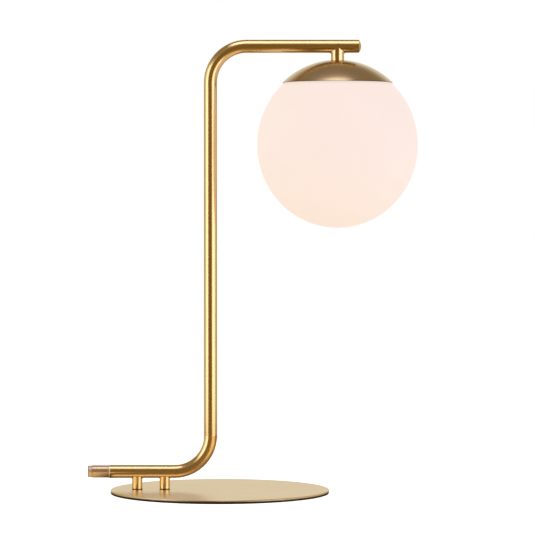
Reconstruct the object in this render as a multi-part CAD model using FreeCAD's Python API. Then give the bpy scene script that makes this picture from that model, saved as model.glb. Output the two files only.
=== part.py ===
import FreeCAD, Part
import math
import os

# Glass globe table lamp: a bent round tube on two posts and a round base, with an opal glass globe
# that screws up into a domed cap on the upper arm.
# Origin: centre of the base's underside, on the table. +X points towards the globe, +Z up. Millimetres.

Vector = FreeCAD.Vector

# ---- Base
BASE_DIAMETER = 200.0
BASE_THICKNESS = 2.0
BASE_EDGE_ROUND = 0.5          # radius along the plate's top edge
BASE_EDGE_CHAMFER = 0.6        # chamfer along the plate's bottom edge
PAD_THICKNESS = 1.2
PAD_INSET = 0.3                # the pad's edge lies this far inside the plate's edge

# ---- Stem tube
TUBE_DIAMETER = 12.0
TUBE_WALL = 1.0
BEND_RADIUS = 33.0             # of the tube's centreline, at both bends
STEM_OFFSET = 8.5              # base's centre to the upright's axis
ARM_RISE = 388.7               # lower arm's axis to upper arm's axis
GLOBE_REACH = 116.0            # upright's axis to the globe's axis
ARM_OVERHANG = 19.3            # globe's axis to the upper arm's right end
WIRE_HOLE_DIAMETER = 8.4       # through the upper arm's underside, over the neck

# ---- Posts between base and lower arm
POST_DIAMETER = 9.4
POST_LENGTH = 10.4             # base's top face to the lower arm's underside
POST_BEND_GAP = 9.0            # start of the lower bend to the inner post's axis
POST_SPACING = 25.2
TAIL_OVERHANG = 24.7           # outer post's axis to the lower arm's left end
POST_FLARE = 1.2               # radius of the braze fillet at the tube
BRAZE_GAP = 0.05               # all round a brazed joint

# ---- Base screws
BASE_SCREW_DIAMETER = 4.0
BASE_SCREW_HEAD = 7.4          # head's diameter at the plate's underside
BASE_SCREW_LENGTH = 9.4
BASE_SCREW_RECESS = 0.15       # head's face above the plate's underside
SCREW_CLEARANCE = 0.2          # radial, in the holes that a screw only passes through
SCREW_FIT = 0.05               # radial, in the holes that a screw is threaded into
SCREW_HOLE_SPARE = 0.8         # depth left past a screw's tip
BASE_SLOT_LENGTH = 5.2
BASE_SLOT_DEPTH = 0.85
DRIVE_SLOT = 0.9               # width of the drivers' slots

# ---- Arm end plug
PLUG_DOME = 1.9                # height of the plug's domed face
PLUG_RIM = 0.35                # straight rim below the dome
PLUG_STEP = 0.15               # the plug's rim lies this far inside the tube's surface
PLUG_SPIGOT = 7.0              # length inside the tube
SPIGOT_FIT = 0.05              # radial gap between a spigot and the tube's bore

# ---- Cord gland at the lower arm's left end
RING_THICKNESS = 1.0
RING_ROUND = 0.3               # radius along the ring's outer edges
RING_PROUD = 0.2               # the joint ring stands this far out of the tube's surface
GLAND_DIAMETER = 11.4
GLAND_LENGTH = 19.4            # joint ring to the gland's end face
GLAND_BORE = 7.2
GLAND_SPIGOT = 12.0            # length inside the tube
GLAND_SPIGOT_BORE = 8.4        # wider than the bore, so that the cord's cores spread
GROOVE_WIDTH = 1.8
GROOVE_DEPTH = 0.4
GROOVE_FROM_END = 2.2
GLAND_END_STEP = 0.35          # the end flange is this much smaller in radius than the gland
GLAND_END_ROUND = 0.6
GLAND_MOUTH = 0.8              # chamfer of the bore's mouth
GLAND_SCREW_DIAMETER = 4.0
GLAND_SCREW_PLACE = 8.6        # joint ring to the screw's axis
GLAND_SCREW_RECESS = 0.15      # at both ends of the screw
GLAND_SLOT_DEPTH = 0.6

# ---- Neck and cap
NECK_DIAMETER = 11.9
NECK_LENGTH = 6.7              # upper arm's underside to the cap's top
NECK_FLARE = 1.6               # radius of the braze fillet at the tube
CAP_RIM_DIAMETER = 101.2
CAP_HEIGHT = 20.6
CAP_WALL = 1.0
CAP_SEAT_MARGIN = 0.7          # washer's edge to the edge of the cap's flat top
CAP_HOLE_CLEARANCE = 0.2       # radial, round the nipple

# ---- Nipple, washer and nuts
NIPPLE_DIAMETER = 10.0
NIPPLE_BORE = 7.0
NIPPLE_TOP_GAP = 0.4           # nipple's upper end below the arm's underside
NIPPLE_TAIL = 1.6              # nipple's lower end below the holder nut
NIPPLE_FIT = 0.05              # radial, in everything threaded or threaded over
WASHER_DIAMETER = 13.6
WASHER_THICKNESS = 0.8
WASHER_TEETH = 12
WASHER_TOOTH_DEPTH = 0.9
WASHER_TOOTH_GAP = 1.2
NUT_ACROSS_FLATS = 14.0
NUT_THICKNESS = 3.0
SPACER_DIAMETER = 14.0

# ---- Glass globe
GLOBE_WIDTH = 146.7
GLOBE_HEIGHT = 151.4           # of the whole ellipsoid, before the neck cuts it
GLASS_WALL = 2.6
GLASS_RIM_GAP = 0.4            # cap's rim to the glass, level with the rim
GLASS_NECK_DIAMETER = 50.0     # at the thread's root
GLASS_NECK_BORE = 43.0
GLASS_NECK_FILLET = 0.8        # outside, at the foot of the neck
GLASS_INNER_ROUND = 3.0        # inside, at the foot of the neck
GLASS_CORNER_ROUND = 1.2       # outside, where the shoulder meets the ellipsoid
GLASS_LIP_ROUND = 0.8          # around the neck's rim

# ---- Thread of the glass neck and the holder's collar
THREAD_PITCH = 3.5
THREAD_TURNS = 1.25            # of each ridge
THREAD_DEPTH = 1.3
THREAD_ROOT_WIDTH = 2.0
THREAD_CREST_WIDTH = 1.2
THREAD_CREST_GAP = 0.5         # a ridge's crest to the other piece's wall
THREAD_END_GAP = 0.3           # a ridge's end to the rim of its own piece
THREAD_ROOT_SINK = 0.3         # a ridge's foot inside its own wall

# ---- Glass holder and gasket
HOLDER_THICKNESS = 1.2
COLLAR_WALL = 1.5
HOLDER_DOME_GAP = 0.8          # holder's outer top edge to the cap's inside
COLLAR_SHOULDER_GAP = 0.8      # collar's lower edge to the glass shoulder
GASKET_THICKNESS = 1.3
GASKET_GAP = 0.2               # above and below the gasket

# ---- Lampholder
BRACKET_THICKNESS = 1.2
BRACKET_SPAN = 26.0            # outside of its legs, along X
BRACKET_WIDTH = 16.0
BRACKET_BEND = 1.8             # outer radius of its upper corners
BRACKET_DROP = 16.6            # web's underside to the lampholder's top
FOOT_LENGTH = 7.3
CERAMIC_DIAMETER = 26.0
CERAMIC_HEIGHT = 18.0
CERAMIC_CHAMFER = 0.7
PIN_SPACING = 9.0
SOCKET_DEPTH = 5.0
SOCKET_CLEARANCE = 0.3         # bulb base to the socket's walls and roof
CHAMBER_HEIGHT = 8.6
CHAMBER_LENGTH_X = 3.4
CHAMBER_LENGTH_Y = 3.0
LEAD_HOLE_DIAMETER = 2.6
FOOT_SCREW_DIAMETER = 3.0
FOOT_SCREW_LENGTH = 8.0
FOOT_SCREW_INSET = 4.2         # bracket leg's outside to the foot screw's axis
SCREW_HEAD_DIAMETER = 5.2
SCREW_HEAD_HEIGHT = 1.8
SCREW_HEAD_ROUND = 0.7
SCREW_SLOT_DEPTH = 0.9

# ---- Contacts
LEAF_THICKNESS = 0.4
LEAF_WIDTH = 2.6
LEAF_HEIGHT = 7.2
LEAF_TO_PIN = 0.1
LEAF_WEB = 0.5
CONTACT_BARREL_DIAMETER = 2.2
CONTACT_BARREL_BORE = 1.3
CONTACT_BARREL_LENGTH = 2.9

# ---- Earth tag
EARTH_SCREW_DROP = 5.6         # bracket web's underside to the earth screw's axis
EARTH_SCREW_LENGTH = 3.4
TAG_THICKNESS = 0.8
TAG_WIDTH = 6.0
TAG_BARREL_DIAMETER = 3.0
TAG_BARREL_LENGTH = 3.6
TAG_BORE_FIT = 0.05            # radial, round the earth lead

# ---- Leads
LEAD_DIAMETER = 1.9
LEAD_PITCH = 2.1               # between the three leads' axes, along Y
CONDUCTOR_DIAMETER = 1.1
CONDUCTOR_LENGTH = 4.5         # bared at the gland's end
CONDUCTOR_TIP_GAP = 0.3        # conductor's tip to the contact's web
INSULATION_GAP = 0.4           # insulation's end to a contact's barrel
NECK_TURN_RADIUS = 6.0         # of the leads, from the arm down into the nipple
SPREAD_RADIUS = 20.0           # of the live and neutral leads' two small turns
SPREAD_START = 2.5             # nipple's lower end to the first of them
SPREAD_END = 1.5               # second of them to the lampholder's top
EARTH_TURN_RADIUS = 5.5
EARTH_TURN_START = 0.5         # nipple's lower end to the earth lead's turn
FERRULE_DIAMETER = 2.0
FERRULE_BORE = 1.2
FERRULE_LENGTH = 8.0
FERRULE_GAP = 2.4              # gland's inner end to the ferrules
FERRULE_OVERLAP = 4.0          # conductor inside its ferrule

# ---- Bulb
BULB_BASE_X = 9.0
BULB_BASE_Y = 15.6
BULB_BASE_HEIGHT = 10.0
BULB_BASE_ROUND = 2.0
BULB_SKIRT_HEIGHT = 3.0
BULB_SKIRT_ROUND = 1.0
BULB_DIAMETER = 17.2
BULB_COVER_LENGTH = 37.0
BULB_COVER_WALL = 1.0
BULB_SPIGOT = 2.0              # base inside its cover
BULB_FIT = 0.05
PIN_WIRE = 0.8
PIN_LOOP_WIDTH = 2.4
PIN_LENGTH = 6.5
PIN_ROOT = 3.0                 # length inside the bulb's base
BOARD_WIDTH = 11.0
BOARD_THICKNESS = 1.0
BOARD_LENGTH = 29.0
BOARD_SLOT = 1.6               # depth of the board's slot in the base
CHIP_SIZE = 2.8
CHIP_THICKNESS = 0.7
CHIP_PITCH_Y = 4.6
CHIP_PITCH_Z = 4.8
CHIP_ROWS = 5
CHIP_MARGIN = 4.4              # base's lower end to the first row's centre

# ---- Places that follow from the sizes above
TUBE_RADIUS = TUBE_DIAMETER / 2
TUBE_BORE_RADIUS = TUBE_RADIUS - TUBE_WALL
BASE_TOP = PAD_THICKNESS + BASE_THICKNESS
LOW_AXIS_Z = BASE_TOP + POST_LENGTH + TUBE_RADIUS
HIGH_AXIS_Z = LOW_AXIS_Z + ARM_RISE
STEM_X = -STEM_OFFSET
GLOBE_X = STEM_X + GLOBE_REACH
ARM_END_X = GLOBE_X + ARM_OVERHANG
INNER_POST_X = STEM_X - BEND_RADIUS - POST_BEND_GAP
OUTER_POST_X = INNER_POST_X - POST_SPACING
TAIL_END_X = OUTER_POST_X - TAIL_OVERHANG
RING_END_X = TAIL_END_X - RING_THICKNESS
GLAND_END_X = RING_END_X - GLAND_LENGTH
GLAND_INNER_X = RING_END_X + RING_THICKNESS + GLAND_SPIGOT
GLAND_SCREW_X = RING_END_X - GLAND_SCREW_PLACE

NECK_TOP_Z = HIGH_AXIS_Z - TUBE_RADIUS
CAP_TOP_Z = NECK_TOP_Z - NECK_LENGTH
CAP_RIM_Z = CAP_TOP_Z - CAP_HEIGHT
CAP_RIM_RADIUS = CAP_RIM_DIAMETER / 2
# The dome is a sphere about a point on the globe's axis, through the flat top's edge and the rim.
CAP_FLAT_RADIUS = WASHER_DIAMETER / 2 + CAP_SEAT_MARGIN
DOME_DROP = (CAP_RIM_RADIUS ** 2 - CAP_FLAT_RADIUS ** 2 + CAP_HEIGHT ** 2) / (2 * CAP_HEIGHT)
DOME_CENTRE_Z = CAP_TOP_Z - DOME_DROP
DOME_RADIUS = math.hypot(CAP_FLAT_RADIUS, DOME_DROP)
DOME_INNER_RADIUS = DOME_RADIUS - CAP_WALL

GLASS_NECK_RADIUS = GLASS_NECK_DIAMETER / 2
COLLAR_INNER_RADIUS = GLASS_NECK_RADIUS + THREAD_DEPTH + THREAD_CREST_GAP
COLLAR_OUTER_RADIUS = COLLAR_INNER_RADIUS + COLLAR_WALL
NUT_TOP_Z = CAP_TOP_Z - CAP_WALL - WASHER_THICKNESS
SPACER_TOP_Z = NUT_TOP_Z - NUT_THICKNESS
DOME_OVER_COLLAR = math.sqrt(DOME_INNER_RADIUS ** 2 - COLLAR_OUTER_RADIUS ** 2)
HOLDER_TOP_Z = DOME_CENTRE_Z + DOME_OVER_COLLAR - HOLDER_DOME_GAP
HOLDER_UNDER_Z = HOLDER_TOP_Z - HOLDER_THICKNESS
WEB_UNDER_Z = HOLDER_UNDER_Z - BRACKET_THICKNESS
NIPPLE_RADIUS = NIPPLE_DIAMETER / 2
NIPPLE_HOLE_RADIUS = NIPPLE_RADIUS + NIPPLE_FIT
NIPPLE_TOP_Z = NECK_TOP_Z - NIPPLE_TOP_GAP
NIPPLE_END_Z = WEB_UNDER_Z - NUT_THICKNESS - NIPPLE_TAIL

GLASS_TOP_Z = HOLDER_UNDER_Z - GASKET_THICKNESS - 2 * GASKET_GAP
GLASS_RIDGE_TOP_Z = GLASS_TOP_Z - GLASS_LIP_ROUND - THREAD_END_GAP - THREAD_ROOT_WIDTH / 2
GLASS_RIDGE_LOW_Z = GLASS_RIDGE_TOP_Z - THREAD_PITCH * THREAD_TURNS
HOLDER_RIDGE_LOW_Z = GLASS_RIDGE_LOW_Z - THREAD_PITCH / 2
COLLAR_LOW_Z = HOLDER_RIDGE_LOW_Z - THREAD_ROOT_WIDTH / 2 - THREAD_END_GAP
SHOULDER_Z = COLLAR_LOW_Z - COLLAR_SHOULDER_GAP
GLASS_A = GLOBE_WIDTH / 2
GLASS_B = GLOBE_HEIGHT / 2
DOME_RIM_INNER = math.sqrt(DOME_INNER_RADIUS ** 2 - (DOME_CENTRE_Z - CAP_RIM_Z) ** 2)
GLASS_RIM_RADIUS = DOME_RIM_INNER - GLASS_RIM_GAP
GLASS_CENTRE_Z = CAP_RIM_Z - GLASS_B * math.sqrt(1 - (GLASS_RIM_RADIUS / GLASS_A) ** 2)

CERAMIC_TOP_Z = WEB_UNDER_Z - BRACKET_DROP
CERAMIC_LOW_Z = CERAMIC_TOP_Z - CERAMIC_HEIGHT
SOCKET_ROOF_Z = CERAMIC_LOW_Z + SOCKET_DEPTH
CHAMBER_TOP_Z = SOCKET_ROOF_Z + CHAMBER_HEIGHT
BULB_TOP_Z = SOCKET_ROOF_Z - SOCKET_CLEARANCE
BULB_BASE_LOW_Z = BULB_TOP_Z - BULB_BASE_HEIGHT
BULB_RIM_Z = BULB_BASE_LOW_Z - BULB_SKIRT_HEIGHT
CONTACT_LOW_Z = SOCKET_ROOF_Z + SOCKET_CLEARANCE
CONTACT_WEB_Z = CONTACT_LOW_Z + LEAF_HEIGHT
BARREL_LOW_Z = CONTACT_WEB_Z + LEAF_WEB
BARREL_TOP_Z = BARREL_LOW_Z + CONTACT_BARREL_LENGTH
EARTH_SCREW_Z = WEB_UNDER_Z - EARTH_SCREW_DROP
EARTH_LEAD_Z = NIPPLE_END_Z - EARTH_TURN_START - EARTH_TURN_RADIUS
LEG_INNER_X = GLOBE_X + BRACKET_SPAN / 2 - BRACKET_THICKNESS
FERRULE_X = GLAND_INNER_X + FERRULE_GAP

Z_AXIS = Vector(0, 0, 1)
X_AXIS = Vector(1, 0, 0)


# ---- Shared shapes

def cylinder(radius, low, high, x=0.0, y=0.0):
    """An upright cylinder between two heights."""
    return Part.makeCylinder(radius, high - low, Vector(x, y, low))


def tube(outer, inner, low, high, x=0.0, y=0.0):
    """An upright ring between two heights."""
    return cylinder(outer, low, high, x, y).cut(cylinder(inner, low - 1, high + 1, x, y))


def bar(radius, x_low, x_high, z, y=0.0):
    """A cylinder along X."""
    return Part.makeCylinder(radius, x_high - x_low, Vector(x_low, y, z), X_AXIS)


def block(x_size, y_size, low, high, x=0.0, y=0.0):
    """A box centred on an upright line."""
    corner = Vector(x - x_size / 2, y - y_size / 2, low)
    return Part.makeBox(x_size, y_size, high - low, corner)


def line(start, end):
    return Part.LineSegment(start, end).toShape()


def polyline(points):
    return [line(a, b) for a, b in zip(points, points[1:])]


def revolved(edges, x=0.0):
    """Turn a closed outline in the XZ plane about the upright line at x."""
    face = Part.Face(Part.Wire(edges))
    return face.revolve(Vector(x, 0, 0), Z_AXIS, 360)


def turned_along_x(points, z):
    """Turn a closed outline of (x, radius) points about the line along X at height z."""
    corners = [Vector(x, 0, z + radius) for x, radius in points]
    face = Part.Face(Part.Wire(polyline(corners + corners[:1])))
    return face.revolve(Vector(0, 0, z), X_AXIS, 360)


def rounded_route(points, radii):
    """A wire of straight runs joined by tangent arcs, one radius for each inner point."""
    edges = []
    start = points[0]
    for index, radius in enumerate(radii):
        corner = points[index + 1]
        into = (corner - points[index]).normalize()
        out = (points[index + 2] - corner).normalize()
        half_turn = into.getAngle(out) / 2
        reach = radius * math.tan(half_turn)
        arc_start = corner - into * reach
        arc_end = corner + out * reach
        centre = corner + (out - into).normalize() * (radius / math.cos(half_turn))
        arc_middle = centre + (corner - centre).normalize() * radius
        edges.append(line(start, arc_start))
        edges.append(Part.Arc(arc_start, arc_middle, arc_end).toShape())
        start = arc_end
    edges.append(line(start, points[-1]))
    return Part.Wire(edges)


def swept_circle(route, radius, start, direction):
    """A round bar along a route."""
    disc = Part.Face(Part.Wire(Part.makeCircle(radius, start, direction)))
    return route.makePipe(disc)


def tube_route(y=0.0, left=TAIL_END_X, right=ARM_END_X):
    """The stem's centreline, from the lower arm's left end to the upper arm's right end."""
    points = [
        Vector(left, y, LOW_AXIS_Z),
        Vector(STEM_X, y, LOW_AXIS_Z),
        Vector(STEM_X, y, HIGH_AXIS_Z),
        Vector(right, y, HIGH_AXIS_Z),
    ]
    return rounded_route(points, [BEND_RADIUS, BEND_RADIUS])


def slot_cut(length, depth, x, z):
    """A driver's slot along X, cut upward from z."""
    return Part.makeBox(length, DRIVE_SLOT, depth, Vector(x - length / 2, -DRIVE_SLOT / 2, z))


def hex_nut(low, high):
    """A nut on the nipple, with chamfered corners."""
    corner_radius = NUT_ACROSS_FLATS / math.sqrt(3)
    corners = []
    for step in range(7):
        angle = math.radians(60 * step)
        place = Vector(GLOBE_X + corner_radius * math.cos(angle), corner_radius * math.sin(angle), low)
        corners.append(place)
    body = Part.Face(Part.Wire(polyline(corners))).extrude(Vector(0, 0, high - low))
    chamfer = corner_radius - NUT_ACROSS_FLATS / 2
    drum = cylinder(corner_radius, low, high, GLOBE_X)
    drum = drum.makeChamfer(chamfer / 2, drum.Edges[0:1] + drum.Edges[2:3])
    bore = cylinder(NIPPLE_HOLE_RADIUS, low - 1, high + 1, GLOBE_X)
    return body.common(drum).cut(bore)


def brazed_stub(radius, x, low, axis_z, flare):
    """An upright stub whose top is cut to the tube's underside, with a fillet round the joint."""
    arm = bar(TUBE_RADIUS, x - 3 * radius, x + 3 * radius, axis_z)
    stub = cylinder(radius, low, axis_z, x)
    joined = arm.fuse(stub).removeSplitter()
    saddle = [edge for edge in joined.Edges if lies_on_both(edge, radius, x, axis_z)]
    joined = joined.makeFillet(flare, saddle)
    return joined.cut(bar(TUBE_RADIUS + BRAZE_GAP, x - 4 * radius, x + 4 * radius, axis_z)).Solids[0]


def lies_on_both(edge, radius, x, axis_z):
    """Whether an edge runs both on the stub's wall and on the tube's."""
    samples = 7
    tolerance = 0.001
    for step in range(samples + 1):
        share = step / samples
        point = edge.valueAt(edge.FirstParameter + (edge.LastParameter - edge.FirstParameter) * share)
        from_arm = abs(math.hypot(point.y, point.z - axis_z) - TUBE_RADIUS)
        from_stub = abs(math.hypot(point.x - x, point.y) - radius)
        if from_arm > tolerance or from_stub > tolerance:
            return False
    return True


# ---- Base

def base_plate():
    radius = BASE_DIAMETER / 2
    plate = cylinder(radius, PAD_THICKNESS, BASE_TOP)
    top_edges = [edge for edge in plate.Edges if edge.Curve.TypeId == "Part::GeomCircle"
                 and edge.BoundBox.ZMin > BASE_TOP - BASE_THICKNESS / 2]
    plate = plate.makeFillet(BASE_EDGE_ROUND, top_edges)
    low_edges = [edge for edge in plate.Edges if edge.Curve.TypeId == "Part::GeomCircle"
                 and edge.BoundBox.ZMax < PAD_THICKNESS + BASE_THICKNESS / 4]
    plate = plate.makeChamfer(BASE_EDGE_CHAMFER, low_edges)
    for x in (OUTER_POST_X, INNER_POST_X):
        plate = plate.cut(base_screw_form(x, SCREW_CLEARANCE, 0.0, BASE_TOP + 1))
    return plate


def base_screw_form(x, spare, recess, top):
    """A countersunk head and shank, upward from the plate's underside, grown by spare all round."""
    low = PAD_THICKNESS + recess
    shank = BASE_SCREW_DIAMETER / 2 + spare
    head = BASE_SCREW_HEAD / 2 + spare
    cone_top = low + head - shank
    outline = [
        Vector(x, 0, low),
        Vector(x + head, 0, low),
        Vector(x + shank, 0, cone_top),
        Vector(x + shank, 0, top),
        Vector(x, 0, top),
        Vector(x, 0, low),
    ]
    return revolved(polyline(outline), x)


def base_pad():
    return cylinder(BASE_DIAMETER / 2 - PAD_INSET, 0.0, PAD_THICKNESS)


def base_screws():
    screws = []
    low = PAD_THICKNESS + BASE_SCREW_RECESS
    for x in (OUTER_POST_X, INNER_POST_X):
        screw = base_screw_form(x, 0.0, BASE_SCREW_RECESS, low + BASE_SCREW_LENGTH)
        screws.append(screw.cut(slot_cut(BASE_SLOT_LENGTH, BASE_SLOT_DEPTH, x, low)))
    return Part.makeCompound(screws)


# ---- Tube and what is brazed or plugged to it

def post(x):
    stub = brazed_stub(POST_DIAMETER / 2, x, BASE_TOP, LOW_AXIS_Z, POST_FLARE)
    screw_tip = PAD_THICKNESS + BASE_SCREW_RECESS + BASE_SCREW_LENGTH
    hole = cylinder(BASE_SCREW_DIAMETER / 2 + SCREW_FIT, BASE_TOP - 1, screw_tip + SCREW_HOLE_SPARE, x)
    return stub.cut(hole)


def stem_tube():
    route = tube_route()
    start = Vector(TAIL_END_X, 0, LOW_AXIS_Z)
    outer = swept_circle(route, TUBE_RADIUS, start, X_AXIS)
    inner = swept_circle(route, TUBE_BORE_RADIUS, start, X_AXIS)
    wire_hole = cylinder(WIRE_HOLE_DIAMETER / 2, NECK_TOP_Z - 1, HIGH_AXIS_Z, GLOBE_X)
    return outer.cut(inner).cut(wire_hole)


def arm_end_plug():
    """A spigot in the tube's bore and a domed face that closes its end."""
    rim_radius = TUBE_RADIUS - PLUG_STEP
    spigot_radius = TUBE_BORE_RADIUS - SPIGOT_FIT
    rim_x = ARM_END_X + PLUG_RIM
    dome_radius = (rim_radius ** 2 + PLUG_DOME ** 2) / (2 * PLUG_DOME)
    half_angle = math.asin(rim_radius / dome_radius) / 2
    centre_x = rim_x + PLUG_DOME - dome_radius
    on_dome = Vector(centre_x + dome_radius * math.cos(half_angle), 0, dome_radius * math.sin(half_angle))
    outline = polyline([
        Vector(ARM_END_X - PLUG_SPIGOT, 0, 0),
        Vector(ARM_END_X - PLUG_SPIGOT, 0, spigot_radius),
        Vector(ARM_END_X, 0, spigot_radius),
        Vector(ARM_END_X, 0, rim_radius),
        Vector(rim_x, 0, rim_radius),
    ])
    crown = Vector(rim_x + PLUG_DOME, 0, 0)
    outline.append(Part.Arc(outline[-1].Vertexes[-1].Point, on_dome, crown).toShape())
    outline.append(line(crown, Vector(ARM_END_X - PLUG_SPIGOT, 0, 0)))
    plug = Part.Face(Part.Wire(outline)).revolve(Vector(0, 0, 0), X_AXIS, 360)
    plug.translate(Vector(0, 0, HIGH_AXIS_Z))
    return plug


def joint_ring():
    outer = bar(TUBE_RADIUS + RING_PROUD, RING_END_X, TAIL_END_X, LOW_AXIS_Z)
    outer = outer.makeFillet(RING_ROUND, [outer.Edges[0], outer.Edges[2]])
    return outer.cut(bar(TUBE_BORE_RADIUS, RING_END_X - 1, TAIL_END_X + 1, LOW_AXIS_Z))


def cord_gland():
    """The cord's inlet: a grooved sleeve outside the tube and a spigot inside it, bored right through."""
    radius = GLAND_DIAMETER / 2
    bore = GLAND_BORE / 2
    spigot = TUBE_BORE_RADIUS - SPIGOT_FIT
    spigot_bore = GLAND_SPIGOT_BORE / 2
    groove_x = GLAND_END_X + GROOVE_FROM_END
    flange = radius - GLAND_END_STEP
    sleeve = turned_along_x([
        (GLAND_END_X, bore + GLAND_MOUTH),
        (GLAND_END_X, flange),
        (groove_x, flange),
        (groove_x, radius - GROOVE_DEPTH),
        (groove_x + GROOVE_WIDTH, radius - GROOVE_DEPTH),
        (groove_x + GROOVE_WIDTH, radius),
        (RING_END_X, radius),
        (RING_END_X, spigot),
        (GLAND_INNER_X, spigot),
        (GLAND_INNER_X, spigot_bore),
        (RING_END_X, spigot_bore),
        (RING_END_X, bore),
        (GLAND_END_X + GLAND_MOUTH, bore),
    ], LOW_AXIS_Z)
    end_edges = [edge for edge in sleeve.Edges if edge.BoundBox.XMax < GLAND_END_X + 0.01
                 and edge.BoundBox.ZLength > 2 * flange - 0.01]
    sleeve = sleeve.makeFillet(GLAND_END_ROUND, end_edges)
    hole_radius = GLAND_SCREW_DIAMETER / 2 + SCREW_FIT
    return sleeve.cut(cylinder(hole_radius, LOW_AXIS_Z - radius - 1, LOW_AXIS_Z, GLAND_SCREW_X))


def gland_screw():
    """A short screw under the gland, backed out flush with the gland's bore."""
    low = LOW_AXIS_Z - GLAND_DIAMETER / 2 + GLAND_SCREW_RECESS
    high = LOW_AXIS_Z - GLAND_BORE / 2 - GLAND_SCREW_RECESS
    screw = cylinder(GLAND_SCREW_DIAMETER / 2, low, high, GLAND_SCREW_X)
    return screw.cut(slot_cut(2 * GLAND_SCREW_DIAMETER, GLAND_SLOT_DEPTH, GLAND_SCREW_X, low))


def neck_bush():
    stub = brazed_stub(NECK_DIAMETER / 2, GLOBE_X, CAP_TOP_Z, HIGH_AXIS_Z, NECK_FLARE)
    bore = cylinder(NIPPLE_HOLE_RADIUS, CAP_TOP_Z - 1, HIGH_AXIS_Z, GLOBE_X)
    return stub.cut(bore)


# ---- Cap and the stack on the nipple

def dome_height(radius_on_plan, sphere_radius):
    return DOME_CENTRE_Z + math.sqrt(sphere_radius ** 2 - radius_on_plan ** 2)


def dome_arc(sphere_radius, start_radius, end_radius):
    """An arc of a sphere about the dome's centre, between two distances from the globe's axis."""
    middle_radius = (start_radius + end_radius) / 2
    places = []
    for radius in (start_radius, middle_radius, end_radius):
        places.append(Vector(GLOBE_X + radius, 0, dome_height(radius, sphere_radius)))
    return Part.Arc(*places).toShape()


def level_line(start_radius, end_radius, z):
    """A line away from or towards the globe's axis."""
    return line(Vector(GLOBE_X + start_radius, 0, z), Vector(GLOBE_X + end_radius, 0, z))


def globe_cap():
    """A spun dome of even wall, with a flat seat at its top."""
    hole = NIPPLE_RADIUS + CAP_HOLE_CLEARANCE
    under_z = CAP_TOP_Z - CAP_WALL
    under_flat = math.sqrt(DOME_INNER_RADIUS ** 2 - (under_z - DOME_CENTRE_Z) ** 2)
    outer = dome_arc(DOME_RADIUS, CAP_FLAT_RADIUS, CAP_RIM_RADIUS)
    inner = dome_arc(DOME_INNER_RADIUS, DOME_RIM_INNER, under_flat)
    outline = [
        level_line(hole, CAP_FLAT_RADIUS, CAP_TOP_Z),
        outer,
        level_line(CAP_RIM_RADIUS, DOME_RIM_INNER, CAP_RIM_Z),
        inner,
        level_line(under_flat, hole, under_z),
        line(Vector(GLOBE_X + hole, 0, under_z), Vector(GLOBE_X + hole, 0, CAP_TOP_Z)),
    ]
    return revolved(outline, GLOBE_X)


def hollow_nipple():
    return tube(NIPPLE_RADIUS, NIPPLE_BORE / 2, NIPPLE_END_Z, NIPPLE_TOP_Z, GLOBE_X)


def toothed_washer():
    low = NUT_TOP_Z
    high = NUT_TOP_Z + WASHER_THICKNESS
    washer = tube(WASHER_DIAMETER / 2, NIPPLE_HOLE_RADIUS, low, high, GLOBE_X)
    gap_corner = Vector(GLOBE_X + WASHER_DIAMETER / 2 - WASHER_TOOTH_DEPTH, -WASHER_TOOTH_GAP / 2, low - 1)
    gap = Part.makeBox(WASHER_TOOTH_DEPTH + 1, WASHER_TOOTH_GAP, WASHER_THICKNESS + 2, gap_corner)
    for tooth in range(WASHER_TEETH):
        turned = gap.copy()
        turned.rotate(Vector(GLOBE_X, 0, low), Z_AXIS, 360 * tooth / WASHER_TEETH)
        washer = washer.cut(turned)
    return washer


def cap_nut():
    return hex_nut(SPACER_TOP_Z, NUT_TOP_Z)


def holder_spacer():
    return tube(SPACER_DIAMETER / 2, NIPPLE_HOLE_RADIUS, HOLDER_TOP_Z, SPACER_TOP_Z, GLOBE_X)


def holder_nut():
    return hex_nut(WEB_UNDER_Z - NUT_THICKNESS, WEB_UNDER_Z)


def thread_ridge(wall_radius, low, outward):
    """A helical ridge on a wall: its foot is sunk in the wall and its crest stands out by the depth."""
    sign = 1 if outward else -1
    foot = wall_radius - sign * THREAD_ROOT_SINK
    crest = wall_radius + sign * THREAD_DEPTH
    slope = (THREAD_ROOT_WIDTH - THREAD_CREST_WIDTH) / 2 / THREAD_DEPTH
    foot_half = THREAD_ROOT_WIDTH / 2 + slope * THREAD_ROOT_SINK
    crest_half = THREAD_CREST_WIDTH / 2
    profile = Part.Wire(polyline([
        Vector(foot, 0, -foot_half),
        Vector(crest, 0, -crest_half),
        Vector(crest, 0, crest_half),
        Vector(foot, 0, foot_half),
        Vector(foot, 0, -foot_half),
    ]))
    helix = Part.Wire(Part.makeHelix(THREAD_PITCH, THREAD_PITCH * THREAD_TURNS, wall_radius))
    ridge = helix.makePipeShell([profile], True, True)
    ridge.translate(Vector(GLOBE_X, 0, low))
    return ridge


def glass_holder():
    """A round plate under the cap with a collar that is threaded inside."""
    plate = tube(COLLAR_OUTER_RADIUS, NIPPLE_HOLE_RADIUS, HOLDER_UNDER_Z, HOLDER_TOP_Z, GLOBE_X)
    collar = tube(COLLAR_OUTER_RADIUS, COLLAR_INNER_RADIUS, COLLAR_LOW_Z, HOLDER_UNDER_Z, GLOBE_X)
    ridge = thread_ridge(COLLAR_INNER_RADIUS, HOLDER_RIDGE_LOW_Z, False)
    return plate.fuse(collar).fuse(ridge).removeSplitter()


# ---- Glass

def ellipse_point(a, b, z):
    """The point at height z on the ellipse of half-axes a and b about the globe's centre."""
    height = z - GLASS_CENTRE_Z
    return Vector(GLOBE_X + a * math.sqrt(1 - (height / b) ** 2), 0, z)


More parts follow.
